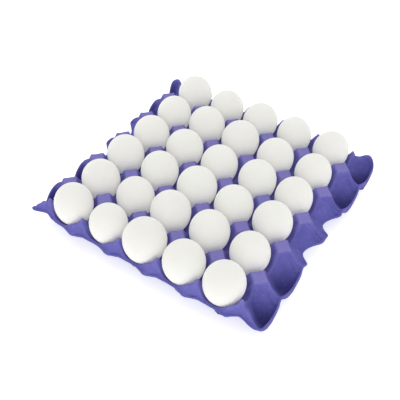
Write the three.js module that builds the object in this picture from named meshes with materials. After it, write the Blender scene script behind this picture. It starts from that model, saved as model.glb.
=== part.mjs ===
// A square tray of moulded pulp holding thirty eggs: five columns along X, six rows along Y.
// Millimetres, +Z up. The origin is on the table, under the middle of the tray.
import * as THREE from 'three';

// Tray: driving dimensions.
const PITCH = 48; // from one cell's centre to the next, both ways
const COLUMNS = 5;
const ROWS = 6;
const POST_TOP = 43; // the caps of the posts, above the table
const PULP = 2.5; // thickness of the wall
const THICKNESS_REACHES = [0.5, 0.85, 0.99]; // where the thickness is measured, as shares of it
const THICKNESS_TURNS = 12; // directions round a point in which it is measured
const RIGHT_EDGE = 148.5; // from the middle cells out to the right rim
const LEFT_EDGE = 143.5; // the left margin is narrower
const ROW_EDGE = 141; // from the middle out to the rim along Y

// Posts, walls and cells.
// A cap is a square whose corners point along the rows and columns.
const CAP_REACH = 10; // from a post's middle to the corners of its cap
const END_CAP_REACH = 4.2; // the same for the half posts along the two end rows
const END_POST_DROP = 2.5; // how much lower those are
const END_POST_LINE = 135.5; // Y of those half posts
const END_WALL_LINE = 139.5; // Y of the wall in front of the end rows, midway between half posts
const END_WALL_START = 137; // and beside a half post
const END_WALL_REACH = 14; // it gets there this far from a half post
const CORNER_RECESS = 3.5; // how far the half posts beside the corners stand back
const RECESS_LINE = 122; // X where they stand back most
const RECESS_WIDTH = 12;
const CORNER_BEND = 4; // how far the ridge from there to the corner bends out again
const BEND_START = 128;
const BEND_END = 146;
const POST_SLOPE = 4.5; // fall of a post's flank towards a cell, for each millimetre outwards
const MARGIN_POST_SLOPE = 2.6; // the same towards a margin
const MARGIN_POST_TURN = 4; // the flank turns from one to the other this far out
const SADDLE_DROP = 16; // from a cap down to the lowest point of the wall between two posts
const GENTLE_SAG = 1.1; // power by which the wall sags on the gentle side of the half posts
const WALL_SLOPE = 2.1; // fall of a wall's sides
const END_WALL_SLOPE = 3.6; // the same in front of the end rows
const WALL_CREST = 1; // half of the width of a wall's crest
const FOOT_RADIUS = 7.7; // flat floor of a cell
const CELL_RADIUS = 24; // where a cell's bowl meets the wall
const BOWL_DROP = 17.3; // from a cap down to the bowl's edge
const BOWL_FULLNESS = 0.72; // below 1, the bowl's side starts steeper at the floor
const POST_FILLET = 2; // between posts and walls
const BOWL_FILLET = 3; // between those and the bowls

// Margins: ridges run out from the posts to the rim, with half cells between them.
const RIDGE_START = 7.5; // where the crest of a ridge starts to sag, from the line of posts
const RIDGE_LENGTH = 26;
const RIDGE_CREST = 1.2; // half of the width of its crest
const HALF_CELL_DROP = 35; // from a cap down to the floor of a half cell
const NOTCHED_CELL_DROP = 22; // the same, beside a finger notch
const HALF_CELL_REACH = 18; // how far out the floor is reached
const FLANK_HOLLOW = 0.12; // how much a flank hangs, as a share of its height

// Rim.
const RIM_DROP = 15; // from a cap down to the rim of the margins
const RIM_DIP = 6; // how much lower it runs past each half cell
const ROW_RIM_DROP = 17; // from a cap down to the rim of the end rows
const RIM_LIP = 1.2; // width of the flat lip
const RIM_BLEND = 4.2; // distance from the edge at which the surface starts to turn into the lip
const ROW_RIM_BLEND = 6; // the same along the end rows
const MARGIN_LINE = 10.5; // distance from the edge of the margin's own grid line
const NOTCH_DEPTH = 13; // finger notches, two in each margin
const NOTCH_HALF_WIDTH = 20;
const NOTCH_EASE = 1.5; // power that eases a notch's ends into the rim
const LOBE_STEP = 2; // how far the margin draws in at each line of posts
const LOBE_STEP_WIDTH = 6;
const ROW_LOBE = 3.2; // how far an end row bulges beside each cell
const ROW_LOBE_WIDTH = 8;
const ROW_LOBE_PHASE = 0.29; // where it bulges, in pitches from the cell's middle
const CORNER_WAIST = 5.5; // how far the end rows draw in before each corner
const WAIST_LINE = 122;
const WAIST_WIDTH = 11;
const MARGIN_START = 2.5 * PITCH; // from here to the next line the end rows' rim turns into the margins'
const MARGIN_FULL = 2.85 * PITCH;
const LEFT_ROUNDS = [6, 9]; // radii of the corners, front and back
const RIGHT_ROUNDS = [6, 19];

// Eggs: the width of each, row by row from the front, and the shape that they share.
const EGG_WIDTHS = [
  [42, 41, 46, 44, 43],
  [43, 42, 44, 43, 42],
  [43, 43, 45, 43, 43],
  [43, 44, 43, 43, 42],
  [42, 44, 45, 43, 42],
  [43, 42, 43, 41, 42],
];
const EGG_LENGTH = 52; // of all but the widest
const EGG_SLENDERNESS = 1.17; // length over width, at least
const EGG_BLUNT_SHARE = 0.46; // share of the length above the widest ring
const EGG_TAPER = 0.1; // how much the lower end is drawn in towards its point
const EGG_LEAN = 0.07; // largest lean from upright, radians
const EGG_SHIFTS = [
  // Row, column, then how far along X and Y the egg has settled from its cell's middle.
  [0, 0, 2, 0],
  [0, 1, 1, 0],
  [0, 4, -1, 0],
  [1, 2, -2, 1],
  [1, 3, -1, 1],
  [2, 0, -2, 0],
  [2, 1, -1, -1],
  [2, 2, 0, 1],
  [2, 4, -1, 1],
  [3, 3, 2, 0],
  [4, 1, -1, 2],
  [4, 2, -1, 1],
  [4, 3, 0, -2],
  [5, 3, -1, 0],
  [5, 4, 0, -1],
];
const EGG_GAP = 0.5; // clearance above the pulp that each egg rests on
const EGG_SIDES = 12;
const EGG_RINGS = 7;
const CONTACT_SIDES = 36; // places round and down an egg where its clearance is tried
const CONTACT_RINGS = 24;

const mix = (a, b, t) => a + (b - a) * t;
const clamp01 = (t) => Math.min(Math.max(t, 0), 1);
const smoothstep = (from, to, t) => {
  const s = clamp01((t - from) / (to - from));
  return s * s * (3 - 2 * s);
};
// The larger of two heights, with a fillet where they meet.
const filletMax = (a, b, fillet) => {
  const s = Math.max(fillet - Math.abs(a - b), 0) / fillet;
  return Math.max(a, b) + (s * s * fillet) / 4;
};

// A bell: 1 at distance 0, close to 0 beyond one and a half widths.
const bell = (distance, width) => Math.exp(-((distance / width) ** 2));

const lastColumnLine = (COLUMNS / 2) * PITCH;
const lastRowLine = (ROWS / 2 - 1) * PITCH;

// ---- Tray outline ----

// Distance from the middle cells to the rim along X.
function marginOutline(x, y) {
  const along = Math.abs(y) / PITCH;
  const fromPostLine = (along - Math.round(along)) * PITCH;
  const fromNotch = (Math.abs(y) - PITCH / 2) / NOTCH_HALF_WIDTH;
  const notch = Math.max(0, 1 - fromNotch * fromNotch) ** NOTCH_EASE;
  const edge = x > 0 ? RIGHT_EDGE : LEFT_EDGE;
  return edge - NOTCH_DEPTH * notch - LOBE_STEP * bell(fromPostLine, LOBE_STEP_WIDTH);
}

// Place along an end row in pitches, counted so that both ends read the same when the tray
// is turned by half a turn.
const rowPhase = (x, y) => (-Math.sign(y) * x) / PITCH;

// Distance from the middle to the rim along Y.
function rowOutline(x, y) {
  const phase = rowPhase(x, y) - ROW_LOBE_PHASE;
  const lobe = Math.abs(x) < lastColumnLine ? bell((phase - Math.round(phase)) * PITCH, ROW_LOBE_WIDTH) : 0;
  return ROW_EDGE + ROW_LOBE * lobe - CORNER_WAIST * bell(Math.abs(x) - WAIST_LINE, WAIST_WIDTH);
}

// Radius of the nearest corner of the rim.
const cornerRound = (x, y) => (x > 0 ? RIGHT_ROUNDS : LEFT_ROUNDS)[y > 0 ? 1 : 0];

// How far inside the outline a point lies.
function rimDistance(x, y) {
  const round = cornerRound(x, y);
  const dx = Math.abs(x) - marginOutline(x, y) + round;
  const dy = Math.abs(y) - rowOutline(x, y) + round;
  return round - Math.hypot(Math.max(dx, 0), Math.max(dy, 0)) - Math.min(Math.max(dx, dy), 0);
}

// ---- Tray surface ----

// How far a crest has sagged: nothing up to the start, then steeply, then levelling out.
function crestSag(distance, start, end) {
  const s = clamp01((distance - start) / (end - start));
  return SADDLE_DROP * (1 - (1 - s) ** 2);
}

// Distance out from the slanting side of a cap.
const fromCap = (alongX, bay) => Math.max(0, alongX + bay.toRowLine - bay.cap) / Math.SQRT2;

// Height among the cells. Posts, walls and bowls are three height fields, and the surface
// is the highest of them, filleted.
function cellHeight(x, y, bay) {
  const ax = Math.abs(x);
  const ay = Math.abs(y);
  const cellX = Math.min(Math.floor(ax / PITCH + 0.5), (COLUMNS - 1) / 2) * PITCH;
  const toColumnLine = PITCH / 2 - Math.abs(ax - cellX);
  const post = bay.top - POST_SLOPE * fromCap(toColumnLine, bay);

  // The wall of an end row falls gently on one side of its half posts, steeply on the other.
  const phase = rowPhase(x, y);
  const isGentle = bay.isEndRow && phase > Math.round(phase);
  const share = clamp01((toColumnLine - bay.cap) / (PITCH / 2 - bay.cap));
  const sag = isGentle ? SADDLE_DROP * share ** GENTLE_SAG : crestSag(toColumnLine, bay.cap, PITCH / 2);
  const endWallLine = mix(END_WALL_START, END_WALL_LINE, smoothstep(bay.cap, END_WALL_REACH, toColumnLine));
  const toRowWall = bay.isEndRow ? Math.abs(bay.endY - endWallLine) : bay.toRowLine;
  const rowWallSlope = bay.isEndRow ? END_WALL_SLOPE : WALL_SLOPE;
  const rowWall = bay.top - sag * bay.sagShare - rowWallSlope * Math.max(0, toRowWall - WALL_CREST);
  const columnCrest = POST_TOP - crestSag(bay.toRowLine, bay.cap, bay.half);
  const columnWall = columnCrest - WALL_SLOPE * Math.max(0, toColumnLine - WALL_CREST);

  const cellY = Math.min(Math.floor(ay / PITCH) + 0.5, ROWS / 2 - 0.5) * PITCH;
  const fromCell = Math.hypot(ax - cellX, ay - cellY);
  const climb = clamp01((fromCell - FOOT_RADIUS) / (CELL_RADIUS - FOOT_RADIUS));
  const bowl = mix(PULP, POST_TOP - BOWL_DROP, Math.sin((climb * Math.PI) / 2) ** BOWL_FULLNESS);
  return filletMax(filletMax(post, Math.max(rowWall, columnWall), POST_FILLET), bowl, BOWL_FILLET);
}

// Height in a margin, at a distance out from the last line of posts: the outer sides of the
// posts, ridges that sag towards the rim, and half cells that deepen towards it.
function marginHeight(out, y, bay) {
  const slope = mix(POST_SLOPE, MARGIN_POST_SLOPE, smoothstep(0, MARGIN_POST_TURN, out));
  const post = bay.top - slope * fromCap(out, bay);
  const columnCrest = POST_TOP - crestSag(bay.toRowLine, bay.cap, bay.half);
  const columnWall = columnCrest - WALL_SLOPE * Math.max(0, out - WALL_CREST);
  const ridge = bay.top - crestSag(out, RIDGE_START, RIDGE_LENGTH) * bay.sagShare;
  const drop = Math.abs(y) < PITCH ? NOTCHED_CELL_DROP : HALF_CELL_DROP;
  const deep = Math.sin((clamp01(out / HALF_CELL_REACH) * Math.PI) / 2);
  const valley = POST_TOP - mix(SADDLE_DROP, drop, deep);
  const share = clamp01((bay.half - bay.toRowLine) / (bay.half - RIDGE_CREST));
  const flank = mix(valley, ridge, share - FLANK_HOLLOW * Math.sin(Math.PI * share));
  return filletMax(post, Math.max(flank, columnWall), POST_FILLET);
}

// Height of the moulded surface before the rim is formed.
function reliefHeight(x, y) {
  const ax = Math.abs(x);
  const ay = Math.abs(y);
  const bend = CORNER_BEND * smoothstep(BEND_START, BEND_END, ax);
  const endY = ay + CORNER_RECESS * bell(ax - RECESS_LINE, RECESS_WIDTH) - bend;
  const isEndRow = endY > (lastRowLine + END_POST_LINE) / 2;
  const bay = {
    isEndRow,
    endY,
    half: ay > lastRowLine ? (END_POST_LINE - lastRowLine) / 2 : PITCH / 2,
    toRowLine: isEndRow ? Math.abs(endY - END_POST_LINE) : Math.abs(ay - Math.round(ay / PITCH) * PITCH),
    cap: isEndRow ? END_CAP_REACH : CAP_REACH,
    top: isEndRow ? POST_TOP - END_POST_DROP : POST_TOP,
    sagShare: isEndRow ? 1 - END_POST_DROP / SADDLE_DROP : 1,
  };
  return ax > lastColumnLine ? marginHeight(ax - lastColumnLine, y, bay) : cellHeight(x, y, bay);
}

// Height of the rim: level along the end rows, dipping past each half cell in the margins.
function rimHeight(x, y) {
  const pastHalfCell = (1 - Math.cos((2 * Math.PI * y) / PITCH)) / 2;
  const margin = POST_TOP - RIM_DROP - RIM_DIP * pastHalfCell;
  return mix(POST_TOP - ROW_RIM_DROP, margin, smoothstep(MARGIN_START, MARGIN_FULL, Math.abs(x)));
}

// Height of the upper surface anywhere on the tray.
function trayHeight(x, y) {
  const blend = mix(ROW_RIM_BLEND, RIM_BLEND, smoothstep(MARGIN_START, MARGIN_FULL, Math.abs(x)));
  return mix(rimHeight(x, y), reliefHeight(x, y), smoothstep(RIM_LIP, blend, rimDistance(x, y)));
}

// Height of the lower surface: the upper one lowered by a ball of the wall's
// thickness, so that steep flanks are as thick as flat ones.
function undersideHeight(x, y) {
  let lowest = trayHeight(x, y) - PULP;
  for (const reach of THICKNESS_REACHES) {
    const drop = PULP * Math.sqrt(1 - reach * reach);
    for (let k = 0; k < THICKNESS_TURNS; k += 1) {
      const angle = (2 * Math.PI * k) / THICKNESS_TURNS;
      const dx = PULP * reach * Math.cos(angle);
      const dy = PULP * reach * Math.sin(angle);
      lowest = Math.min(lowest, trayHeight(x + dx, y + dy) - drop);
    }
  }
  return Math.max(lowest, 0);
}

// ---- Tray mesh ----

// Both signs of a list of distances from the middle, in rising order.
const mirrored = (list) => [...list.filter((t) => t > 0).map((t) => -t).reverse(), ...list];

// Grid lines along X: cell centres, floor edges, cap edges and post lines, then the margin.
function columnLines() {
  const lines = [0];
  for (let post = PITCH / 2; post <= lastColumnLine; post += PITCH) {
    lines.push(post - PITCH / 2 + FOOT_RADIUS, post - CAP_REACH, post, post + CAP_REACH);
    if (post < lastColumnLine) lines.push(post + PITCH / 2 - FOOT_RADIUS, post + PITCH / 2);
  }
  lines.push(RIGHT_EDGE - MARGIN_LINE, RIGHT_EDGE - RIM_BLEND, RIGHT_EDGE);
  return mirrored(lines);
}

// Grid lines along Y: the same, with a line of posts on the axis, then the end rows.
function rowLines() {
  const lines = [0];
  for (let cell = PITCH / 2; cell < (ROWS / 2) * PITCH; cell += PITCH) {
    lines.push(cell - PITCH / 2 + CAP_REACH, cell - FOOT_RADIUS, cell, cell + FOOT_RADIUS);
    if (cell + PITCH < (ROWS / 2) * PITCH) {
      lines.push(cell + PITCH / 2 - CAP_REACH, cell + PITCH / 2);
    }
  }
  lines.push(END_POST_LINE - END_CAP_REACH, END_POST_LINE, END_WALL_LINE, ROW_EDGE);
  return mirrored(lines);
}

const trayColumns = columnLines();
const trayRows = rowLines();
const FIXED_COLUMN = 130; // beyond these lines the grid is drawn out to the outline
const FIXED_ROW = 130;

// Moves a grid line's distance so that the outermost one lies on the outline.
function drawnOut(t, fixed, edge, outline) {
  const beyond = (Math.abs(t) - fixed) / (edge - fixed);
  return beyond > 0 ? Math.sign(t) * mix(fixed, outline, beyond) : t;
}

// Moves a grid point with its lines, and draws each corner's square onto a quarter disc.
function fitToOutline(x, y) {
  const fx = drawnOut(x, FIXED_COLUMN, RIGHT_EDGE, marginOutline(x, y));
  const fy = drawnOut(y, FIXED_ROW, ROW_EDGE, rowOutline(x, y));
  const round = cornerRound(x, y);
  const u = clamp01((Math.abs(fx) - marginOutline(fx, fy)) / round + 1);
  const v = clamp01((Math.abs(fy) - rowOutline(fx, fy)) / round + 1);
  const pullX = round * u * (1 - Math.sqrt(1 - (v * v) / 2));
  const pullY = round * v * (1 - Math.sqrt(1 - (u * u) / 2));
  return [fx - Math.sign(x) * pullX, fy - Math.sign(y) * pullY];
}

// Which way a grid square is split: across the line from the post to the cell's centre.
function isDiagonalTurned(xs, ys, i, j) {
  const midX = (xs[i] + xs[i + 1]) / (2 * PITCH) + 0.5;
  const midY = (ys[j] + ys[j + 1]) / (2 * PITCH);
  return (midX - Math.floor(midX) < 0.5) === (midY - Math.floor(midY) < 0.5);
}

// The tray as one closed shell: an upper grid, a lower grid under it and the rim between them.
function trayGeometry() {
  const xs = trayColumns;
  const ys = trayRows;
  const positions = [];
  for (const heightAt of [trayHeight, undersideHeight]) {
    for (const y of ys) {
      for (const x of xs) {
        const [px, py] = fitToOutline(x, y);
        positions.push(px, py, heightAt(px, py));
      }
    }
  }

  const triangles = [];
  const upper = (i, j) => j * xs.length + i;
  const lower = (i, j) => upper(i, j) + xs.length * ys.length;
  for (let j = 0; j + 1 < ys.length; j += 1) {
    for (let i = 0; i + 1 < xs.length; i += 1) {
      const corners = [[i, j], [i + 1, j], [i + 1, j + 1], [i, j + 1]];
      const up = corners.map(([a, b]) => upper(a, b));
      const down = corners.map(([a, b]) => lower(a, b));
      const [a, b, c, d] = isDiagonalTurned(xs, ys, i, j) ? [1, 2, 3, 0] : [0, 1, 2, 3];
      triangles.push(up[a], up[b], up[c], up[a], up[c], up[d]);
      triangles.push(down[a], down[c], down[b], down[a], down[d], down[c]);
    }
  }
  const lastI = xs.length - 1;
  const lastJ = ys.length - 1;
  const loop = [];
  for (let i = 0; i < lastI; i += 1) loop.push([i, 0]);
  for (let j = 0; j < lastJ; j += 1) loop.push([lastI, j]);
  for (let i = lastI; i > 0; i -= 1) loop.push([i, lastJ]);
  for (let j = lastJ; j > 0; j -= 1) loop.push([0, j]);
  loop.forEach(([i, j], k) => {
    const [i2, j2] = loop[(k + 1) % loop.length];
    triangles.push(lower(i, j), lower(i2, j2), upper(i2, j2), lower(i, j), upper(i2, j2), upper(i, j));
  });

  const geometry = new THREE.BufferGeometry();
  geometry.setAttribute('position', new THREE.Float32BufferAttribute(positions, 3));
  geometry.setIndex(triangles);
  geometry.computeVertexNormals();
  return geometry;
}

// ---- Eggs ----

// Radius and height of an egg's ring, from its point at a quarter turn below its widest
// ring to its blunt end at a quarter turn above: two half ellipses, the lower one longer
// and drawn in towards the point.
function eggRing(width, angle) {
  const length = Math.max(EGG_LENGTH, width * EGG_SLENDERNESS);
  const reach = length * (angle < 0 ? 1 - EGG_BLUNT_SHARE : EGG_BLUNT_SHARE);
  const taper = angle < 0 ? 1 - EGG_TAPER * Math.sin(angle) ** 2 : 1;
  return [(width / 2) * Math.cos(angle) * taper, reach * Math.sin(angle)];
}

// An egg standing on its point, centred on its widest ring.
function eggGeometry(width) {
  const profile = [];
  for (let k = 0; k < EGG_RINGS; k += 1) {
    const [radius, height] = eggRing(width, Math.PI * (k / (EGG_RINGS - 1) - 0.5));
    profile.push(new THREE.Vector2(k % (EGG_RINGS - 1) ? radius : 0, height));
  }
  const geometry = new THREE.LatheGeometry(profile, EGG_SIDES);
  geometry.rotateX(Math.PI / 2);
  return geometry;
}

// A repeatable number from -1 to 1 for each cell and use.
function unevenness(row, column, use) {
  const wave = Math.sin(row * 12.9898 + column * 78.233 + use * 37.719) * 43758.5453;
  return 2 * (wave - Math.floor(wave)) - 1;
}

// Height of the tray's flat triangles, which span its bowls a little above the true surface.
function facetHeight(x, y) {
  const i = trayColumns.findLastIndex((line) => line <= x);
  const rowAt = (line) => drawnOut(line, FIXED_ROW, ROW_EDGE, rowOutline(x, line));
  const j = trayRows.findLastIndex((line) => rowAt(line) <= y);
  if (j < 0 || j + 1 === trayRows.length) return 0;
  const u = (x - trayColumns[i]) / (trayColumns[i + 1] - trayColumns[i]);
  const v = (y - rowAt(trayRows[j])) / (rowAt(trayRows[j + 1]) - rowAt(trayRows[j]));
  const corner = (a, b) => trayHeight(...fitToOutline(trayColumns[i + a], trayRows[j + b]));
  if (isDiagonalTurned(trayColumns, trayRows, i, j)) {
    return u + v < 1
      ? corner(0, 0) + u * (corner(1, 0) - corner(0, 0)) + v * (corner(0, 1) - corner(0, 0))
      : corner(1, 1) + (1 - u) * (corner(0, 1) - corner(1, 1)) + (1 - v) * (corner(1, 0) - corner(1, 1));
  }
  return u > v
    ? corner(0, 0) + u * (corner(1, 0) - corner(0, 0)) + v * (corner(1, 1) - corner(1, 0))
    : corner(0, 0) + v * (corner(0, 1) - corner(0, 0)) + u * (corner(1, 1) - corner(0, 1));
}

// Lowest height at which a leaning egg clears the pulp beneath it, tried all over its lower half.
function restingHeight(egg, width, x, y) {
  const point = new THREE.Vector3();
  let height = 0;
  for (let down = 0; down <= 1; down += 1 / CONTACT_RINGS) {
    const [radius, depth] = eggRing(width, (-Math.PI / 2) * down);
    for (let turn = 0; turn < CONTACT_SIDES; turn += 1) {
      const angle = (2 * Math.PI * turn) / CONTACT_SIDES;
      point.set(radius * Math.cos(angle), radius * Math.sin(angle), depth).applyEuler(egg.rotation);
      height = Math.max(height, facetHeight(x + point.x, y + point.y) - point.z);
    }
  }
  return height + EGG_GAP;
}

// ---- Assembly ----

const carton = new THREE.Group();

const pulpFinish = new THREE.MeshStandardMaterial({ color: 0x6a68b0, roughness: 0.9, metalness: 0 });
const tray = new THREE.Mesh(trayGeometry(), pulpFinish);
tray.name = 'tray';
carton.add(tray);

const shellFinish = new THREE.MeshStandardMaterial({ color: 0xf2f1ea, roughness: 0.55, metalness: 0 });
for (let row = 0; row < ROWS; row += 1) {
  for (let column = 0; column < COLUMNS; column += 1) {
    const egg = new THREE.Mesh(eggGeometry(EGG_WIDTHS[row][column]), shellFinish);
    const [, , shiftX, shiftY] = EGG_SHIFTS.find(([r, c]) => r === row && c === column) ?? [0, 0, 0, 0];
    const x = (column - (COLUMNS - 1) / 2) * PITCH + shiftX;
    const y = (row - (ROWS - 1) / 2) * PITCH + shiftY;
    egg.rotation.set(EGG_LEAN * unevenness(row, column, 1), EGG_LEAN * unevenness(row, column, 2), 0);
    egg.position.set(x, y, restingHeight(egg, EGG_WIDTHS[row][column], x, y));
    egg.name = `egg_row${row + 1}_column${column + 1}`;
    carton.add(egg);
  }
}

// The outline's middle stands over the origin, though the left margin is narrower.
carton.children.forEach((mesh) => mesh.position.setX(mesh.position.x + (LEFT_EDGE - RIGHT_EDGE) / 2));

export default carton;
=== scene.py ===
import math

import bpy
import numpy as np
from mathutils import Matrix, Vector


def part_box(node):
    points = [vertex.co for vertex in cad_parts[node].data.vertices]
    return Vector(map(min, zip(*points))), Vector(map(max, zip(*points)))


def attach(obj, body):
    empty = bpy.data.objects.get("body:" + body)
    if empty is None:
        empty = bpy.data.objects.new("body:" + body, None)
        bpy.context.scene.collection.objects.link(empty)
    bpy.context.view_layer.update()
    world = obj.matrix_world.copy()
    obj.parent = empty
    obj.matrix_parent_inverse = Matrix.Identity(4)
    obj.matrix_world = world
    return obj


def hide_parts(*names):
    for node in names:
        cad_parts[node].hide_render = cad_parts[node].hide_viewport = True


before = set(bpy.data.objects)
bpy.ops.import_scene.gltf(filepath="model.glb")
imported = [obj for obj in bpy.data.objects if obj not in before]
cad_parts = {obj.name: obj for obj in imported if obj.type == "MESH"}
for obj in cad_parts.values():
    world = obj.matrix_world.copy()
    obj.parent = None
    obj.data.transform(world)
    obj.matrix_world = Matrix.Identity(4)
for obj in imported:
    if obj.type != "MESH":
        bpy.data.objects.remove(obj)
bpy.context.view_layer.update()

MM = 0.001

# Tray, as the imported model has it.
PITCH = 48.0  # from one cell's centre to the next
HALF_PITCH = PITCH / 2
COLUMNS = 5
ROWS = 6
POST_TOP = 43.0  # caps of the posts, above the table
PULP = 2.5  # thickness of the wall
RIGHT_EDGE = 148.5  # middle cell to rim
LEFT_EDGE = 143.5
ROW_EDGE = 141.0  # middle to rim along Y
SIDEWAYS = (LEFT_EDGE - RIGHT_EDGE) / 2  # sets the middle of the outline over the origin
LAST_COLUMN_LINE = COLUMNS / 2 * PITCH
LAST_ROW_LINE = (ROWS / 2 - 1) * PITCH

# A cap is a square whose corners point along the rows and columns.
CAP_REACH = 10.0  # from a post's middle to the corners of its cap
END_CAP_REACH = 4.2  # the same for the half posts along the end rows
END_POST_DROP = 5.0  # how much lower they are
END_POST_LINE = 135.5
END_WALL_LINE = 139.5  # the wall in front of the end rows, midway between half posts
END_WALL_START = 137.0  # and beside a half post
END_WALL_REACH = 14.0
CORNER_RECESS = 3.5  # how far the half posts beside the corners stand back
RECESS_LINE = 122.0
RECESS_WIDTH = 12.0
CORNER_BEND = 4.0  # how far the ridge from there to the corner bends out again
BEND_START, BEND_END = 128.0, 146.0
POST_SLOPE = 4.5  # fall of a post's flank towards a cell
MARGIN_POST_SLOPE = 2.6  # and towards a margin
MARGIN_POST_TURN = 4.0
SADDLE_DROP = 16.0  # cap to the lowest point of the wall between two posts
GENTLE_SAG = 0.95  # power by which a wall sags on the gentle side of the half posts
WALL_SLOPE = 2.1
END_WALL_SLOPE = 3.6
WALL_CREST = 1.0
POST_FILLET = 2.0
BOWL_FILLET = 3.0
FOOT_RADIUS = 7.7
CELL_RADIUS = 24.0
BOWL_DROP = 17.3
BOWL_FULLNESS = 0.72

# Margins: ridges run out from the posts to the rim, with half cells between them.
RIDGE_START = 7.5
RIDGE_LENGTH = 26.0
RIDGE_CREST = 1.2
HALF_CELL_DROP = 35.0  # cap to the floor of a half cell
NOTCHED_CELL_DROP = 22.0  # the same beside a finger notch
HALF_CELL_REACH = 18.0  # how far out the floor is reached
FLANK_HOLLOW = 0.12  # how much a flank hangs below the straight line, as a share of its height

RIM_DROP = 15.0
RIM_DIP = 6.0
ROW_RIM_DROP = 17.0
BACK_CORNER_RISE = 11.0  # how far the rim stands up at the back corners
BACK_CORNER_LINE = 137.0
BACK_CORNER_WIDTH = 17.0
RIM_LIP = 1.2
LIP_ROUND = 0.5  # how far the lip's round stands out
RIM_BLEND = 4.2
ROW_RIM_BLEND = 6.0
NOTCH_DEPTH = 13.0
NOTCH_HALF_WIDTH = 18.0
NOTCH_EASE = 1.2  # power by which a notch runs out into the margin
NOTCH_FILLET = 3.0
LOBE_STEP = 2.0
LOBE_STEP_WIDTH = 6.0
LEFT_LOBE_ROUND = 27.0  # radius of the lobes along the left margin
LEFT_LOBE_OFFSET = 6.0  # how far they lie before the lines of posts
LEFT_LOBE_INSET = 7.5  # how far the outline draws in between them
ROW_LOBE = 3.2
ROW_LOBE_WIDTH = 8.0
ROW_LOBE_PHASE = 0.29  # where a row's lobe lies, in pitches from the middle of a cell
CORNER_WAIST = 5.5
WAIST_LINE = 122.0
WAIST_WIDTH = 11.0
MARGIN_START = 2.5 * PITCH  # between these lines the rows' rim turns into the margins'
MARGIN_FULL = 2.85 * PITCH
CORNER_ROUNDS = ((6.0, 9.0), (6.0, 13.0))  # left front and back, right front and back

# The underside is felt for at these shares of the wall's thickness, this many ways round.
THICKNESS_REACHES = (0.5, 0.85, 0.99)
THICKNESS_TURNS = 12

# Marks of the mould and of drying.
DIMPLE_DEPTH = 1.1
DIMPLE_WIDTH = 4.5
BEAD_HEIGHT = 2.4
BEAD_WIDTH = 1.0
BEAD_OFFSET = 2.5  # from a ridge's crest to the bead in front of it
BEAD_SLANT = 0.2  # how fast the bead leaves the crest
BEAD_MIDDLE = 12.0  # out from the last line of posts, where that offset holds
BEAD_START, BEAD_FULL = 10.0, 15.0
BEAD_EDGE, BEAD_INNER = 1.5, 5.0  # the bead fades between these distances from the rim
CREASE_SHARE = 0.8  # depth of the creases beside a bead, as a share of its height
CREASE_OFFSET = 2.2
CREASE_WIDTH = 1.2
DENT_DEPTH = 2.0
DENT_WIDTH = 2.2
DENT_SLANT = 2.2
DENT_OFFSET = 1.0
DENT_START, DENT_FULL = END_POST_LINE - 1, END_POST_LINE + 2
UNEVENNESS = ((0.25, 34, 3), (0.13, 11, 5), (0.07, 5, 8))  # height, wavelength and seed

# Where the pulp is painted paler: wear along the crests, and a painted highlight on the caps, whose tops
# face the light.
RUB_REACH = 2.5  # a place is compared with others this far round it
RUB_TURNS = 8
CREST_START, CREST_FULL = 0.3, 1.6  # how far it stands above them
CAP_START, CAP_FULL = POST_TOP - 0.8, POST_TOP - 0.3
CREST_RUB = 0.3  # how pale a crest is painted as wear, where a cap's painted highlight is 1

# Meshes.
TRAY_LINES = 257  # grid lines each way on the upper surface; the lower has every second
FIXED_LINE = 130.0  # grid lines beyond this one are drawn to the outline
LINE_CROWDING = 0.1  # how much closer the lines lie towards the edges
LIP_SHARES = (0.3, 0.7)  # where the lip's two rings lie, from the upper border down
EGG_SIDES = 56
EGG_RINGS = 36

# Egg shape shared by all thirty.
EGG_LENGTH = 52.0  # of all but the widest
EGG_SLENDERNESS = 1.17
EGG_BLUNT_SHARE = 0.46
EGG_TAPER = 0.1
EGG_LEAN = 0.07


# ---------------------------------------------------------------- small helpers

def mix(a, b, t):
    """Straight blend from a to b."""
    return a + (b - a) * t


def smoothstep(start, end, t):
    """0 before start, 1 after end, with a smooth S between."""
    s = np.clip((t - start) / (end - start), 0.0, 1.0)
    return s * s * (3 - 2 * s)


def fillet_max(a, b, fillet):
    """The larger of two heights, with a fillet where they meet."""
    s = np.maximum(fillet - np.abs(a - b), 0) / fillet
    return np.maximum(a, b) + s * s * fillet / 4


def bump(distance, width):
    """A bell, 1 at distance 0 and close to 0 beyond one and a half widths."""
    return np.exp(-(distance / width) ** 2)


def wavy(x, y, size, seed):
    """Smooth unevenness between about -1 and 1: a sum of plane waves of one wavelength
    each, in directions and phases drawn from the seed."""
    rng = np.random.default_rng(seed)
    total = np.zeros(np.broadcast(x, y).shape)
    waves = 7
    for angle, phase, stretch in rng.random((waves, 3)):
        k = 2 * math.pi / (size * (0.7 + 0.6 * stretch))
        angle *= 2 * math.pi
        total += np.sin(k * (x * math.cos(angle) + y * math.sin(angle)) + 2 * math.pi * phase)
    return total / math.sqrt(waves * 2)


# ---------------------------------------------------------------- tray surface

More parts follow.
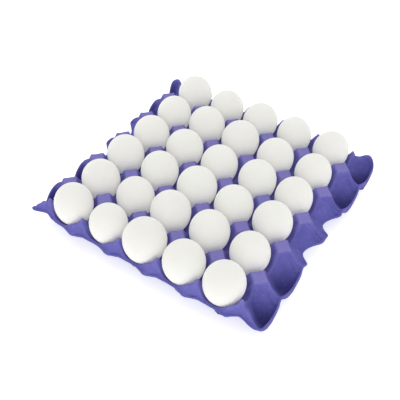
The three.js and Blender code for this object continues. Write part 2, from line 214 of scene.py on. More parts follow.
def margin_outline(x, y):
    """Middle cell to rim along X: the margin's edge, less two finger notches. The right edge
    has a small step at each line of posts but the middle one, and the left one is a row of
    round lobes."""
    along = np.abs(y) / PITCH
    from_post_line = (along - np.round(along)) * PITCH
    from_notch = (np.abs(y) - HALF_PITCH) / NOTCH_HALF_WIDTH
    notch = NOTCH_DEPTH * np.maximum(0, 1 - from_notch ** 2) ** NOTCH_EASE
    step = LOBE_STEP * bump(from_post_line, LOBE_STEP_WIDTH) * (np.abs(y) > HALF_PITCH)
    lobe_place = (y + LEFT_LOBE_OFFSET) / PITCH
    from_lobe = (lobe_place - np.round(lobe_place)) * PITCH
    between = LEFT_LOBE_ROUND - np.sqrt(LEFT_LOBE_ROUND ** 2 - from_lobe ** 2)
    inset = LEFT_LOBE_INSET * np.tanh(between / LEFT_LOBE_INSET)
    return np.where(x > 0, RIGHT_EDGE - notch - step, LEFT_EDGE - fillet_max(notch, inset, NOTCH_FILLET))


def row_outline(x, y):
    """Middle to rim along Y: the row's edge with a lobe to one side of each cell, and a waist
    just before each corner. The back edge is the front one turned by half a turn."""
    phase = -np.sign(y) * x / PITCH - ROW_LOBE_PHASE
    lobe = bump((phase - np.round(phase)) * PITCH, ROW_LOBE_WIDTH) * (np.abs(x) < LAST_COLUMN_LINE)
    waist = CORNER_WAIST * bump(np.abs(x) - WAIST_LINE, WAIST_WIDTH)
    return ROW_EDGE + ROW_LOBE * lobe - waist


def corner_round(x, y):
    """The radius of the rim's nearest corner."""
    left, right = CORNER_ROUNDS
    return np.where(x > 0, np.where(y > 0, right[1], right[0]), np.where(y > 0, left[1], left[0]))


def rim_distance(x, y):
    """How far inside the outline a point is, with the corners rounded."""
    r = corner_round(x, y)
    dx = np.abs(x) - margin_outline(x, y) + r
    dy = np.abs(y) - row_outline(x, y) + r
    return r - np.hypot(np.maximum(dx, 0), np.maximum(dy, 0)) - np.minimum(np.maximum(dx, dy), 0)


def crest_sag(distance, start, end):
    """How far a crest has sagged: nothing up to the start, then steeply, then levelling."""
    s = np.clip((distance - start) / (end - start), 0, 1)
    return SADDLE_DROP * (1 - (1 - s) ** 2)


def from_cap(along_x, along_y, cap_reach):
    """Distance out from the slanting side of a cap."""
    return np.maximum(0, along_x + along_y - cap_reach) / math.sqrt(2)


def cell_height(x, y, to_row_line, end_y, in_end_row, half_bay):
    """The surface among the cells: posts, walls and bowls, of which the highest counts. The
    wall of an end row falls evenly on one side of its half posts and steeply on the other."""
    ax, ay = np.abs(x), np.abs(y)
    cell_x = np.minimum(np.floor(ax / PITCH + 0.5), (COLUMNS - 1) / 2) * PITCH
    to_column_line = HALF_PITCH - np.abs(ax - cell_x)
    cap_reach = np.where(in_end_row, END_CAP_REACH, CAP_REACH)
    top = POST_TOP - END_POST_DROP * in_end_row
    post = top - POST_SLOPE * from_cap(to_column_line, to_row_line, cap_reach)
    leaving_post = smoothstep(cap_reach, END_WALL_REACH, to_column_line)
    end_wall = mix(END_WALL_START, END_WALL_LINE, leaving_post)
    to_row_wall = np.where(in_end_row, np.abs(end_y - end_wall), to_row_line)
    phase = -np.sign(y) * x / PITCH
    gentle = in_end_row & (phase > np.round(phase))
    along_wall = np.clip((to_column_line - cap_reach) / (HALF_PITCH - cap_reach), 0, 1)
    even_sag = along_wall ** GENTLE_SAG * SADDLE_DROP
    sag = np.where(gentle, even_sag, crest_sag(to_column_line, cap_reach, HALF_PITCH))
    row_wall = top - sag * (1 - END_POST_DROP / SADDLE_DROP * in_end_row)
    row_wall -= np.where(in_end_row, END_WALL_SLOPE, WALL_SLOPE) * np.maximum(0, to_row_wall - WALL_CREST)
    column_wall = POST_TOP - crest_sag(to_row_line, cap_reach, half_bay)
    column_wall -= WALL_SLOPE * np.maximum(0, to_column_line - WALL_CREST)
    cell_y = np.minimum(np.floor(ay / PITCH) + 0.5, ROWS / 2 - 0.5) * PITCH
    from_foot = np.hypot(ax - cell_x, ay - cell_y) - FOOT_RADIUS
    climb = np.clip(from_foot / (CELL_RADIUS - FOOT_RADIUS), 0, 1)
    bowl = mix(PULP, POST_TOP - BOWL_DROP, np.sin(climb * math.pi / 2) ** BOWL_FULLNESS)
    walls = fillet_max(post, np.maximum(row_wall, column_wall), POST_FILLET)
    return fillet_max(walls, bowl, BOWL_FILLET)


def margin_height(out, ay, to_row_line, in_end_row, half_bay):
    """The surface of a margin, out from the last line of posts: the outer sides of the posts,
    ridges that sag towards the rim, and half cells that deepen towards it."""
    cap_reach = np.where(in_end_row, END_CAP_REACH, CAP_REACH)
    top = POST_TOP - END_POST_DROP * in_end_row
    slope = mix(POST_SLOPE, MARGIN_POST_SLOPE, smoothstep(0, MARGIN_POST_TURN, out))
    post = top - slope * from_cap(out, to_row_line, cap_reach)
    column_wall = POST_TOP - crest_sag(to_row_line, cap_reach, half_bay)
    column_wall -= WALL_SLOPE * np.maximum(0, out - WALL_CREST)
    sag = crest_sag(out, RIDGE_START, RIDGE_LENGTH)
    ridge = top - sag * (1 - END_POST_DROP / SADDLE_DROP * in_end_row)
    drop = np.where(ay < PITCH, NOTCHED_CELL_DROP, HALF_CELL_DROP)
    deep = np.sin(np.clip(out / HALF_CELL_REACH, 0, 1) * math.pi / 2)
    valley = POST_TOP - mix(SADDLE_DROP, drop, deep)
    share = np.clip((half_bay - to_row_line) / (half_bay - RIDGE_CREST), 0, 1)
    flank = mix(valley, ridge, share - FLANK_HOLLOW * np.sin(math.pi * share))
    return fillet_max(post, np.maximum(flank, column_wall), POST_FILLET)


def relief_height(x, y):
    """The moulded surface before the rim is formed: cells in the middle, and margins beyond
    the last lines of posts."""
    ax, ay = np.abs(x), np.abs(y)
    recess = CORNER_RECESS * bump(ax - RECESS_LINE, RECESS_WIDTH)
    end_y = ay + recess - CORNER_BEND * smoothstep(BEND_START, BEND_END, ax)
    in_end_row = end_y > (LAST_ROW_LINE + END_POST_LINE) / 2
    half_bay = np.where(ay > LAST_ROW_LINE, (END_POST_LINE - LAST_ROW_LINE) / 2, HALF_PITCH)
    to_post_line = np.abs(ay - np.round(ay / PITCH) * PITCH)
    to_row_line = np.where(in_end_row, np.abs(end_y - END_POST_LINE), to_post_line)
    cells = cell_height(x, y, to_row_line, end_y, in_end_row, half_bay)
    margin = margin_height(ax - LAST_COLUMN_LINE, ay, to_row_line, in_end_row, half_bay)
    return np.where(ax > LAST_COLUMN_LINE, margin, cells)


def rim_height(x, y):
    """The rim's level: even along the end rows, dipping past each half cell in the margins,
    and standing up at the back corners."""
    past_half_cell = (1 - np.cos(2 * math.pi * y / PITCH)) / 2
    margin = POST_TOP - RIM_DROP - RIM_DIP * past_half_cell
    row = POST_TOP - ROW_RIM_DROP
    from_corner = np.hypot(np.abs(x) - BACK_CORNER_LINE, y - BACK_CORNER_LINE)
    rise = BACK_CORNER_RISE * bump(from_corner, BACK_CORNER_WIDTH)
    return mix(row, margin, smoothstep(MARGIN_START, MARGIN_FULL, np.abs(x))) + rise


def tray_height(x, y):
    """The upper surface: the relief, turning into the level lip along the edge."""
    blend = mix(ROW_RIM_BLEND, RIM_BLEND, smoothstep(MARGIN_START, MARGIN_FULL, np.abs(x)))
    formed = smoothstep(RIM_LIP, blend, rim_distance(x, y))
    return mix(rim_height(x, y), relief_height(x, y), formed)


def underside_height(x, y, height):
    """The lower surface: the upper one lowered by a ball of the wall's thickness, so that
    steep flanks are as thick as flat ones. It's level where it stands on the table."""
    lowest = height(x, y) - PULP
    for reach in THICKNESS_REACHES:
        drop = PULP * math.sqrt(1 - reach * reach)
        for angle in np.arange(THICKNESS_TURNS) * 2 * math.pi / THICKNESS_TURNS:
            beside_x = x + PULP * reach * math.cos(angle)
            beside_y = y + PULP * reach * math.sin(angle)
            lowest = np.minimum(lowest, height(beside_x, beside_y) - drop)
    return np.maximum(lowest, 0)


def pulp_height(x, y):
    """The upper surface with the hand of the mould on it: a shallow dimple in each cap, a bead
    between two creases before each ridge, dents in the rows' outer faces, and the slow
    unevenness of dried pulp."""
    ax, ay = np.abs(x), np.abs(y)
    out = ax - LAST_COLUMN_LINE
    from_row_line = ay - np.round(ay / PITCH) * PITCH
    from_column_line = ax - np.abs(np.round(ax / PITCH + 0.5) - 0.5) * PITCH
    inside = ay < LAST_ROW_LINE + HALF_PITCH
    dimple = bump(np.hypot(from_row_line, from_column_line), DIMPLE_WIDTH) * inside
    toward_front = np.where(y > 0, -1, 1) * from_row_line
    from_bead = toward_front - BEAD_OFFSET - BEAD_SLANT * (out - BEAD_MIDDLE)
    inner = smoothstep(BEAD_EDGE, BEAD_INNER, rim_distance(x, y))
    along_bead = smoothstep(BEAD_START, BEAD_FULL, out) * inner * inside
    crease = sum(bump(from_bead + side * CREASE_OFFSET, CREASE_WIDTH) for side in (1, -1))
    bead = (bump(from_bead, BEAD_WIDTH) - CREASE_SHARE * crease) * along_bead
    end_face = smoothstep(DENT_START, DENT_FULL, ay) * (ax < LAST_COLUMN_LINE)
    slant = from_column_line * np.sign(x) * -np.sign(y) + DENT_SLANT * (ay - END_WALL_LINE)
    dent = bump(slant - DENT_OFFSET, DENT_WIDTH) * end_face
    slow = sum(height * wavy(x, y, size, seed) for height, size, seed in UNEVENNESS)
    return tray_height(x, y) - DIMPLE_DEPTH * dimple + BEAD_HEIGHT * bead - DENT_DEPTH * dent + slow


def fit_to_outline(x, y):
    """Moves grid points so that the outermost lines follow the rim's outline: first a stretch
    along each axis beyond a fixed line, then each corner's square drawn onto a quarter disc."""
    def stretch(t, edge, outline):
        beyond = (np.abs(t) - FIXED_LINE) / (edge - FIXED_LINE)
        return np.where(beyond > 0, np.sign(t) * mix(FIXED_LINE, outline, beyond), t)

    fx = stretch(x, RIGHT_EDGE, margin_outline(x, y) - LIP_ROUND)
    fy = stretch(y, ROW_EDGE, row_outline(x, y) - LIP_ROUND)
    r = corner_round(x, y)
    dx = np.maximum(np.abs(fx) - margin_outline(fx, fy) + LIP_ROUND + r, 0) / r
    dy = np.maximum(np.abs(fy) - row_outline(fx, fy) + LIP_ROUND + r, 0) / r
    dx, dy = np.minimum(dx, 1), np.minimum(dy, 1)
    pull_x = r * dx * (1 - np.sqrt(1 - dy * dy / 2))
    pull_y = r * dy * (1 - np.sqrt(1 - dx * dx / 2))
    return fx - np.sign(x) * pull_x, fy - np.sign(y) * pull_y


def new_object(name, verts, faces):
    """A mesh object from vertices in millimetres and a list of faces."""
    mesh = bpy.data.meshes.new(name)
    mesh.from_pydata((verts * MM).tolist(), [], faces)
    mesh.polygons.foreach_set("use_smooth", np.ones(len(mesh.polygons), bool))
    mesh.update()
    piece = bpy.data.objects.new(name, mesh)
    bpy.context.scene.collection.objects.link(piece)
    return piece


def grid_faces(columns, rows, start, facing_up):
    """Quads of a grid whose vertex (i, j) is number start + j * columns + i."""
    i, j = np.meshgrid(np.arange(columns - 1), np.arange(rows - 1))
    a = (start + j * columns + i).ravel()
    quads = np.stack([a, a + 1, a + 1 + columns, a + columns], 1)
    return quads if facing_up else quads[:, ::-1]


def border(columns, rows, start):
    """The numbers of a grid's border vertices, once round from its first corner."""
    south = start + np.arange(columns - 1)
    east = start + columns - 1 + np.arange(rows - 1) * columns
    north = start + rows * columns - 1 - np.arange(columns - 1)
    west = start + (rows - 1 - np.arange(rows - 1)) * columns
    return np.concatenate([south, east, north, west])


def edge_lines(edge, count):
    """Grid lines from -edge to edge, a little closer together towards the ends."""
    t = np.linspace(-1, 1, count)
    return edge * ((1 + LINE_CROWDING) * t - LINE_CROWDING * t ** 3)


def stand_out(x, y):
    """1 on caps, less along crests, 0 on flanks and in hollows: a crest is higher than the mean of the
    places round about it, and a cap lies close to the top. It paints the caps paler as a highlight and
    the crests paler as wear."""
    here = tray_height(x, y)
    angles = np.arange(RUB_TURNS) * 2 * math.pi / RUB_TURNS
    around = sum(tray_height(x + RUB_REACH * math.cos(a), y + RUB_REACH * math.sin(a)) for a in angles)
    crest = smoothstep(CREST_START, CREST_FULL, here - around / RUB_TURNS)
    return np.maximum(smoothstep(CAP_START, CAP_FULL, here), CREST_RUB * crest)


def make_tray():
    """The tray as one closed shell: a fine upper grid, a lower grid with every second of
    its lines, and a rounded lip between them."""
    fine = TRAY_LINES
    coarse = (fine + 1) // 2
    x, y = np.meshgrid(edge_lines(RIGHT_EDGE, fine), edge_lines(ROW_EDGE, fine))
    x, y = fit_to_outline(x, y)
    top = np.stack([x, y, pulp_height(x, y)], -1)
    bx, by = x[::2, ::2], y[::2, ::2]
    bottom = np.stack([bx, by, underside_height(bx, by, pulp_height)], -1)

    verts = [top.reshape(-1, 3), bottom.reshape(-1, 3)]
    faces = grid_faces(fine, fine, 0, True).tolist()
    faces += grid_faces(coarse, coarse, fine * fine, False).tolist()

    # The lip bulges outwards by the lip's round, midway between the two borders.
    upper = border(fine, fine, 0)
    lower = border(coarse, coarse, fine * fine)
    every = np.concatenate(verts)
    ring_top = every[upper]
    ring_low = every[lower]
    low_full = np.empty_like(ring_top)
    low_full[0::2] = ring_low
    low_full[1::2] = (ring_low + np.roll(ring_low, -1, 0)) / 2
    tangent = np.roll(ring_top, -1, 0) - np.roll(ring_top, 1, 0)
    outward = np.stack([tangent[:, 1], -tangent[:, 0]], 1)
    outward /= np.linalg.norm(outward, axis=1, keepdims=True)
    count = len(upper)
    previous = upper
    start = fine * fine + coarse * coarse
    for share in LIP_SHARES:
        ring = mix(ring_top, low_full, share)
        ring[:, :2] += outward * LIP_ROUND
        verts.append(ring)
        numbers = start + np.arange(count)
        start += count
        nxt = np.roll(numbers, -1)
        faces += np.stack([numbers, nxt, np.roll(previous, -1), previous], 1).tolist()
        previous = numbers
    n1, n2 = np.roll(previous, -1)[0::2], np.roll(previous, -2)[0::2]
    faces += np.stack([lower, np.roll(lower, -1), n2, n1, previous[0::2]], 1).tolist()
    verts = np.concatenate(verts)
    piece = new_object("tray_moulded", verts + (SIDEWAYS, 0, 0), faces)
    # How high each point is, and how far it stands out from its surroundings, which paints caps paler as
    # a highlight and crests paler as wear.
    wear_and_cap_highlight = np.zeros(len(verts))
    wear_and_cap_highlight[:fine * fine] = stand_out(x, y).ravel()
    for label, values in (("raised", smoothstep(0, POST_TOP, verts[:, 2])), ("wear_and_cap_highlight", wear_and_cap_highlight)):
        piece.data.attributes.new(label, "FLOAT", "POINT").data.foreach_set("value", values)
    return piece


# ---------------------------------------------------------------- eggs

def unevenness(row, column, use):
    """A repeatable number from -1 to 1 for each cell and use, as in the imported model."""
    wave = math.sin(row * 12.9898 + column * 78.233 + use * 37.719) * 43758.5453
    return 2 * (wave - math.floor(wave)) - 1


def make_egg(row, column):
    """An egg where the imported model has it: rings round an upright axis, two half ellipses
    in profile, the lower one longer and drawn in towards the point, leaned as it settled."""
    node = f"egg_row{row + 1}_column{column + 1}"
    low, high = (np.array(corner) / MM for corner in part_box(node))
    width = high[0] - low[0]
    length = max(EGG_LENGTH, width * EGG_SLENDERNESS)
    sides = EGG_SIDES
    angle = np.linspace(-math.pi / 2, math.pi / 2, EGG_RINGS + 1)[1:-1]
    reach = np.where(angle < 0, 1 - EGG_BLUNT_SHARE, EGG_BLUNT_SHARE) * length
    radius = width / 2 * np.cos(angle) * np.where(angle < 0, 1 - EGG_TAPER * np.sin(angle) ** 2, 1)
    height = reach * np.sin(angle)
    turn = np.arange(sides) * 2 * math.pi / sides
    points = np.stack([
        radius[:, None] * np.cos(turn), radius[:, None] * np.sin(turn),
        np.broadcast_to(height[:, None], (len(angle), sides))], -1).reshape(-1, 3)
    poles = np.array([[0, 0, -(1 - EGG_BLUNT_SHARE) * length], [0, 0, EGG_BLUNT_SHARE * length]])
    verts = np.concatenate([points, poles])
    lean = Matrix.Rotation(EGG_LEAN * unevenness(row, column, 1), 3, "X")
    lean = lean @ Matrix.Rotation(EGG_LEAN * unevenness(row, column, 2), 3, "Y")
    verts = verts @ np.array(lean).T
    middle = (low + high) / 2
    verts += [middle[0], middle[1], high[2] - verts[:, 2].max()]

    ring, side = np.meshgrid(np.arange(len(angle) - 1), np.arange(sides), indexing="ij")
    a = (ring * sides + side).ravel()
    b = (ring * sides + (side + 1) % sides).ravel()
    faces = np.stack([a, b, b + sides, a + sides], 1).tolist()
    first = np.arange(sides)
    last = first + (len(angle) - 1) * sides
    south, north = len(points), len(points) + 1
    faces += np.stack([np.roll(first, -1), first, np.full(sides, south)], 1).tolist()
    faces += np.stack([last, np.roll(last, -1), np.full(sides, north)], 1).tolist()
    egg = new_object(f"egg_shell_r{row + 1}_c{column + 1}", verts, faces)
    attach(egg, "root")
    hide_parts(node)
    return egg


# ---------------------------------------------------------------- finishes

# Sockets of the colour blend node, which holds one set for each kind of data.
BLEND_FIRST, BLEND_SECOND = 6, 7
BLEND_RESULT = 2

# Colours, linear, from the most to the least common of each finish.
PULP_DARKER = (0.108, 0.102, 0.375, 1)
PULP_LIGHTER = (0.135, 0.127, 0.43, 1)
PULP_WEAR_AND_HIGHLIGHT = (0.21, 0.19, 0.505, 1)
PULP_PAINTED_SHADE = (0.05, 0.045, 0.21, 1)
PULP_FIBRE = (0.30, 0.28, 0.62, 1)
PULP_LIGHT_FLECK = (0.42, 0.40, 0.70, 1)
PULP_DARK_FLECK = (0.05, 0.045, 0.2, 1)
SHELL_COOL = (0.605, 0.605, 0.575, 1)
SHELL_WARM = (0.597, 0.587, 0.565, 1)
SHELL_SPECK = (0.45, 0.32, 0.27, 1)
FLOOR_DARKER = (0.93, 0.93, 0.93, 1)
FLOOR_LIGHTER = (0.95, 0.95, 0.95, 1)
WHITE = (1, 1, 1)


def new_group(name, inputs, outputs):
    """An empty node group with the given sockets: inputs as (name, type, value)."""
    group = bpy.data.node_groups.new(name, "ShaderNodeTree")
    for label, kind, value in inputs:
        socket = group.interface.new_socket(label, in_out="INPUT", socket_type=kind)
        if value is not None:
            socket.default_value = value
    for label, kind in outputs:
        group.interface.new_socket(label, in_out="OUTPUT", socket_type=kind)
    return group, group.nodes.new("NodeGroupInput"), group.nodes.new("NodeGroupOutput")


def add_node(tree, kind, links=(), **settings):
    """A node with its settings, its sockets linked or set: links as (socket, source)."""
    node = tree.nodes.new(kind)
    for label, value in settings.items():
        setattr(node, label, value)
    for socket, source in links:
        if isinstance(source, bpy.types.NodeSocket):
            tree.links.new(source, node.inputs[socket])
        else:
            node.inputs[socket].default_value = source
    return node


def make_mottle():
    """Slow clouds from low to high: one noise, spread over the range."""
    group, start, end = new_group("mottle", [
        ("Vector", "NodeSocketVector", None), ("Scale", "NodeSocketFloat", 60.0),
        ("Low", "NodeSocketFloat", 0.35), ("High", "NodeSocketFloat", 0.65)],
        [("Mask", "NodeSocketFloat")])
    noise = add_node(group, "ShaderNodeTexNoise", [
        ("Vector", start.outputs["Vector"]), ("Scale", start.outputs["Scale"]),
        ("Detail", 4.0), ("Roughness", 0.55)])
    spread = add_node(group, "ShaderNodeMapRange", [
        ("Value", noise.outputs["Fac"]), ("From Min", start.outputs["Low"]),
        ("From Max", start.outputs["High"])])
    group.links.new(spread.outputs["Result"], end.inputs["Mask"])
    return group


def make_grain():
    """Fine grain as a height and as a mask: a fine noise added to rounded cells."""
    group, start, end = new_group("grain", [
        ("Vector", "NodeSocketVector", None), ("Scale", "NodeSocketFloat", 900.0),
        ("Pits", "NodeSocketFloat", 0.5)],
        [("Height", "NodeSocketFloat"), ("Mask", "NodeSocketFloat")])
    noise = add_node(group, "ShaderNodeTexNoise", [
        ("Vector", start.outputs["Vector"]), ("Scale", start.outputs["Scale"]),
        ("Detail", 3.0), ("Roughness", 0.6)])
    cells = add_node(group, "ShaderNodeTexVoronoi", [
        ("Vector", start.outputs["Vector"]), ("Scale", start.outputs["Scale"])])
    pits = add_node(group, "ShaderNodeMath", [
        (0, cells.outputs["Distance"]), (1, start.outputs["Pits"])], operation="MULTIPLY")
    height = add_node(group, "ShaderNodeMath", [
        (0, noise.outputs["Fac"]), (1, pits.outputs[0])], operation="ADD")
    mask = add_node(group, "ShaderNodeMapRange", [
        ("Value", height.outputs[0]), ("From Min", 0.4), ("From Max", 0.95)])
    group.links.new(height.outputs[0], end.inputs["Height"])
    group.links.new(mask.outputs["Result"], end.inputs["Mask"])
    return group


def make_fibres():
    """Short matted fibres: two noises, each stretched along another direction and bent by
    a third, of which the stronger shows."""
    group, start, end = new_group("fibres", [
        ("Vector", "NodeSocketVector", None), ("Scale", "NodeSocketFloat", 220.0),
        ("Stretch", "NodeSocketFloat", 0.22)],
        [("Height", "NodeSocketFloat")])
    bend = add_node(group, "ShaderNodeTexNoise", [
        ("Vector", start.outputs["Vector"]), ("Scale", 70.0)])
    bent = add_node(group, "ShaderNodeVectorMath", [
        (0, bend.outputs["Color"]), (1, (0.02, 0.02, 0.02))], operation="MULTIPLY")
    moved = add_node(group, "ShaderNodeVectorMath", [
        (0, start.outputs["Vector"]), (1, bent.outputs[0])], operation="ADD")
    strands = []
    for turn in (0.5, 2.1):
        turned = add_node(group, "ShaderNodeVectorRotate", [
            ("Vector", moved.outputs[0]), ("Angle", turn)], rotation_type="Z_AXIS")
        long = add_node(group, "ShaderNodeCombineXYZ", [
            (0, start.outputs["Stretch"]), (1, 1.0), (2, 1.0)])
        scaled = add_node(group, "ShaderNodeVectorMath", [
            (0, turned.outputs[0]), (1, long.outputs[0])], operation="MULTIPLY")
        strands.append(add_node(group, "ShaderNodeTexNoise", [
            ("Vector", scaled.outputs[0]), ("Scale", start.outputs["Scale"]), ("Detail", 2.0)]))
    stronger = add_node(group, "ShaderNodeMath", [
        (0, strands[0].outputs["Fac"]), (1, strands[1].outputs["Fac"])], operation="MAXIMUM")
    group.links.new(stronger.outputs[0], end.inputs["Height"])
    return group


def make_specks():
    """A few small specks: cells kept where their random colour is high, near their middle."""
    group, start, end = new_group("specks", [
        ("Vector", "NodeSocketVector", None), ("Scale", "NodeSocketFloat", 260.0),
        ("Share", "NodeSocketFloat", 0.03), ("Radius", "NodeSocketFloat", 0.3)],
        [("Mask", "NodeSocketFloat")])
    cells = add_node(group, "ShaderNodeTexVoronoi", [
        ("Vector", start.outputs["Vector"]), ("Scale", start.outputs["Scale"])])
    chance = add_node(group, "ShaderNodeSeparateColor", [("Color", cells.outputs["Color"])])
    kept = add_node(group, "ShaderNodeMath", [
        (0, chance.outputs[0]), (1, start.outputs["Share"])], operation="LESS_THAN")
    near = add_node(group, "ShaderNodeMapRange", [
        ("Value", cells.outputs["Distance"]), ("From Min", start.outputs["Radius"]),
        ("From Max", 0.0)])
    both = add_node(group, "ShaderNodeMath", [
        (0, kept.outputs[0]), (1, near.outputs["Result"])], operation="MULTIPLY")
    group.links.new(both.outputs[0], end.inputs["Mask"])
    return group


def use_group(tree, group, links):
    """The group as a node, its inputs linked or set."""
    return add_node(tree, "ShaderNodeGroup", links, node_tree=group)


def blend_colors(tree, factor, first, second):
    """The first colour where the factor is 0, the second where it is 1."""
    links = [("Factor", factor), (BLEND_FIRST, first), (BLEND_SECOND, second)]
    return add_node(tree, "ShaderNodeMix", links, data_type="RGBA").outputs[BLEND_RESULT]


def share_of(tree, mask, share):
    """A mask made fainter."""
    return add_node(tree, "ShaderNodeMath", [(0, mask), (1, share)], operation="MULTIPLY").outputs[0]


def new_material(name):
    """A material with its shader and the object's own coordinates."""
    material = bpy.data.materials.new(name)
    material.use_nodes = True
    tree = material.node_tree
    place = tree.nodes.new("ShaderNodeTexCoord").outputs["Object"]
    return material, tree, tree.nodes["Principled BSDF"], place


def add_bump(tree, shader, height, distance, strength):
    """Lets a height turn the shader's normals."""
    node = add_node(tree, "ShaderNodeBump", [
        ("Height", height), ("Distance", distance), ("Strength", strength)])
    tree.links.new(node.outputs["Normal"], shader.inputs["Normal"])


def pulp_material():
    """Dyed pulp: clouds of two violets, paler on the caps as a painted highlight and along crests as
    wear, darker in the low hollows as painted shade, with matted fibres and a few light and dark flecks."""
    material, tree, shader, place = new_material("violet_pulp")
    raised = add_node(tree, "ShaderNodeAttribute", attribute_name="raised").outputs["Fac"]
    wear_and_cap_highlight = add_node(tree, "ShaderNodeAttribute", attribute_name="wear_and_cap_highlight").outputs["Fac"]
    clouds = use_group(tree, mottle, [("Vector", place), ("Scale", 55.0)])
    fibre = use_group(tree, fibres, [("Vector", place), ("Scale", 330.0)])
    fine = use_group(tree, grain, [("Vector", place), ("Scale", 1400.0)])
    fleck = use_group(tree, specks, [("Vector", place), ("Scale", 330.0), ("Share", 0.05)])
    dark_fleck = use_group(tree, specks, [("Vector", place), ("Scale", 240.0), ("Share", 0.04)])
    base = blend_colors(tree, clouds.outputs["Mask"], PULP_DARKER, PULP_LIGHTER)
    # Paler on the caps as a painted highlight, and along the crests as wear.
    paler = blend_colors(tree, wear_and_cap_highlight, base, PULP_WEAR_AND_HIGHLIGHT)
    # Painted shade: darker towards the low hollows between the eggs, where the cells lie in shadow.
    low = add_node(tree, "ShaderNodeMapRange", [
        ("Value", raised), ("From Min", 0.6), ("From Max", 0.05)])
    with_painted_shade = blend_colors(tree, low.outputs["Result"], paler, PULP_PAINTED_SHADE)
    matted = add_node(tree, "ShaderNodeMapRange", [
        ("Value", fibre.outputs["Height"]), ("From Min", 0.62), ("From Max", 0.85), ("To Max", 0.3)])
    fibred = blend_colors(tree, matted.outputs["Result"], with_painted_shade, PULP_FIBRE)
    light = share_of(tree, fleck.outputs["Mask"], 0.35)
    flecked = blend_colors(tree, light, fibred, PULP_LIGHT_FLECK)
    dark = share_of(tree, dark_fleck.outputs["Mask"], 0.45)
    final = blend_colors(tree, dark, flecked, PULP_DARK_FLECK)
    tree.links.new(final, shader.inputs["Base Color"])
    rough = add_node(tree, "ShaderNodeMapRange", [
        ("Value", fine.outputs["Mask"]), ("To Min", 0.82), ("To Max", 0.97)])
    tree.links.new(rough.outputs["Result"], shader.inputs["Roughness"])
    shader.inputs["Specular IOR Level"].default_value = 0.25
    relief = add_node(tree, "ShaderNodeMath", [
        (0, fibre.outputs["Height"]), (1, fine.outputs["Height"])], operation="ADD")
    add_bump(tree, shader, relief.outputs[0], 0.0006, 0.6)
    return material


def eggshell_material():
    """White shell: a warm and a cool white in slow clouds, fine pores, a few faint specks, and
    a faint glow that keeps its lower half from going grey between its neighbours."""
    material, tree, shader, place = new_material("white_eggshell")
    clouds = use_group(tree, mottle, [("Vector", place), ("Scale", 22.0)])
    pores = use_group(tree, grain, [("Vector", place), ("Scale", 1700.0), ("Pits", 0.9)])
    speck = use_group(tree, specks, [
        ("Vector", place), ("Scale", 210.0), ("Share", 0.012), ("Radius", 0.22)])
    base = blend_colors(tree, clouds.outputs["Mask"], SHELL_COOL, SHELL_WARM)
    faint = share_of(tree, speck.outputs["Mask"], 0.35)
    final = blend_colors(tree, faint, base, SHELL_SPECK)
    tree.links.new(final, shader.inputs["Base Color"])
    rough = add_node(tree, "ShaderNodeMapRange", [
        ("Value", pores.outputs["Mask"]), ("To Min", 0.5), ("To Max", 0.62)])
    tree.links.new(rough.outputs["Result"], shader.inputs["Roughness"])
    shader.inputs["Specular IOR Level"].default_value = 0.3
    shader.inputs["Subsurface Weight"].default_value = 1.0
    shader.inputs["Subsurface Radius"].default_value = (1.0, 1.0, 1.0)
    shader.inputs["Subsurface Scale"].default_value = 0.012
    tree.links.new(final, shader.inputs["Emission Color"])
    shader.inputs["Emission Strength"].default_value = 0.36
    add_bump(tree, shader, pores.outputs["Height"], 0.0002, 0.25)
    return material


def floor_material():
    """A plain pale table top with the faintest grain."""
    material, tree, shader, place = new_material("pale_floor")
    fine = use_group(tree, grain, [("Vector", place), ("Scale", 400.0)])
    color = blend_colors(tree, fine.outputs["Mask"], FLOOR_DARKER, FLOOR_LIGHTER)
    tree.links.new(color, shader.inputs["Base Color"])
    tree.links.new(color, shader.inputs["Emission Color"])
    shader.inputs["Emission Strength"].default_value = 0.5
    shader.inputs["Roughness"].default_value = 0.9
    shader.inputs["Specular IOR Level"].default_value = 0.1
    return material


mottle = make_mottle()
grain = make_grain()
fibres = make_fibres()
specks = make_specks()


# ---------------------------------------------------------------- camera, light, floor

TURN, RISE, ROLL = 31.8, 44.9, 1.71  # degrees
DISTANCE = 14.76 * PITCH
TARGET = (0.31 * PITCH + SIDEWAYS, -0.83 * PITCH, POST_TOP)
SENSOR_WIDTH = 36.0
FOCAL_LENGTH = 58.98
FLOOR_REACH = 6.0  # metres, as are the lights' places and sizes
SKY_STRENGTH = 0.8
SKY_SEEN_MORE = 0.3  # how much brighter the camera sees it
# Name, place, size and power of each light.
LIGHTS = (
    ("above", (-0.2, 0.2, 2.0), 2.2, 4),
    ("back_left", (-1.1, 0.9, 1.3), 1.2, 3),
    ("fill", (0.9, -1.3, 1.1), 1.4, 8),
)


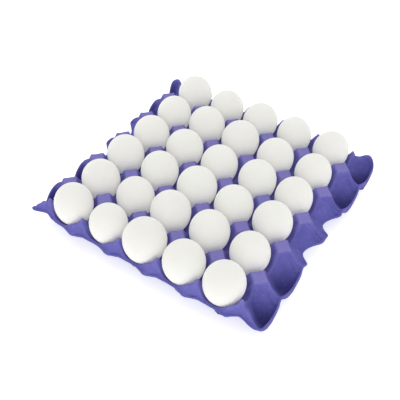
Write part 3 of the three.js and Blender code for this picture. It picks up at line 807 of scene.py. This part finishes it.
def place_camera():
    """A camera looking down at the near right corner, from the given turn, height and
    distance, at a point near the middle of the caps."""
    turn, rise, roll = (math.radians(a) for a in (TURN, RISE, ROLL))
    back = Vector((math.sin(turn) * math.cos(rise), -math.cos(turn) * math.cos(rise), math.sin(rise)))
    right = (-back).cross(Vector((0, 0, 1))).normalized()
    up = right.cross(-back)
    tilted_right = math.cos(roll) * right + math.sin(roll) * up
    tilted_up = math.cos(roll) * up - math.sin(roll) * right
    data = bpy.data.cameras.new("view")
    data.sensor_width = SENSOR_WIDTH
    data.lens = FOCAL_LENGTH
    camera = bpy.data.objects.new("view", data)
    bpy.context.scene.collection.objects.link(camera)
    place = Matrix((tilted_right, tilted_up, back)).transposed().to_4x4()
    place.translation = (Vector(TARGET) + back * DISTANCE) * MM
    camera.matrix_world = place
    bpy.context.scene.camera = camera


def add_light(name, place, size, power):
    """A round white lamp that faces the origin."""
    data = bpy.data.lights.new(name, "AREA")
    data.shape = "DISK"
    data.size = size
    data.energy = power
    data.color = WHITE
    light = bpy.data.objects.new(name, data)
    light.location = place
    light.rotation_euler = Vector(place).to_track_quat("Z", "Y").to_euler()
    bpy.context.scene.collection.objects.link(light)


def make_stage():
    """The floor, the sky and the lights."""
    mesh = bpy.data.meshes.new("floor")
    reach = FLOOR_REACH
    corners = [(-reach, -reach, 0), (reach, -reach, 0), (reach, reach, 0), (-reach, reach, 0)]
    mesh.from_pydata(corners, [], [(0, 1, 2, 3)])
    floor = bpy.data.objects.new("floor", mesh)
    bpy.context.scene.collection.objects.link(floor)
    floor.data.materials.append(floor_material())
    world = bpy.data.worlds.new("studio")
    bpy.context.scene.world = world
    world.use_nodes = True
    # White where the camera sees it, like the floor, and a little softer as a light.
    tree = world.node_tree
    seen = tree.nodes.new("ShaderNodeLightPath").outputs["Is Camera Ray"]
    strength = add_node(tree, "ShaderNodeMath", [
        (0, seen), (1, SKY_SEEN_MORE), (2, SKY_STRENGTH)], operation="MULTIPLY_ADD")
    tree.nodes["Background"].inputs["Color"].default_value = (*WHITE, 1)
    tree.links.new(strength.outputs[0], tree.nodes["Background"].inputs["Strength"])
    for light in LIGHTS:
        add_light(*light)
    bpy.context.scene.view_settings.view_transform = "Standard"


place_camera()
make_stage()

tray = make_tray()
tray.data.materials.append(pulp_material())
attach(tray, "root")
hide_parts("tray")

shell = eggshell_material()
for row in range(ROWS):
    for column in range(COLUMNS):
        make_egg(row, column).data.materials.append(shell)

bpy.context.view_layer.update()
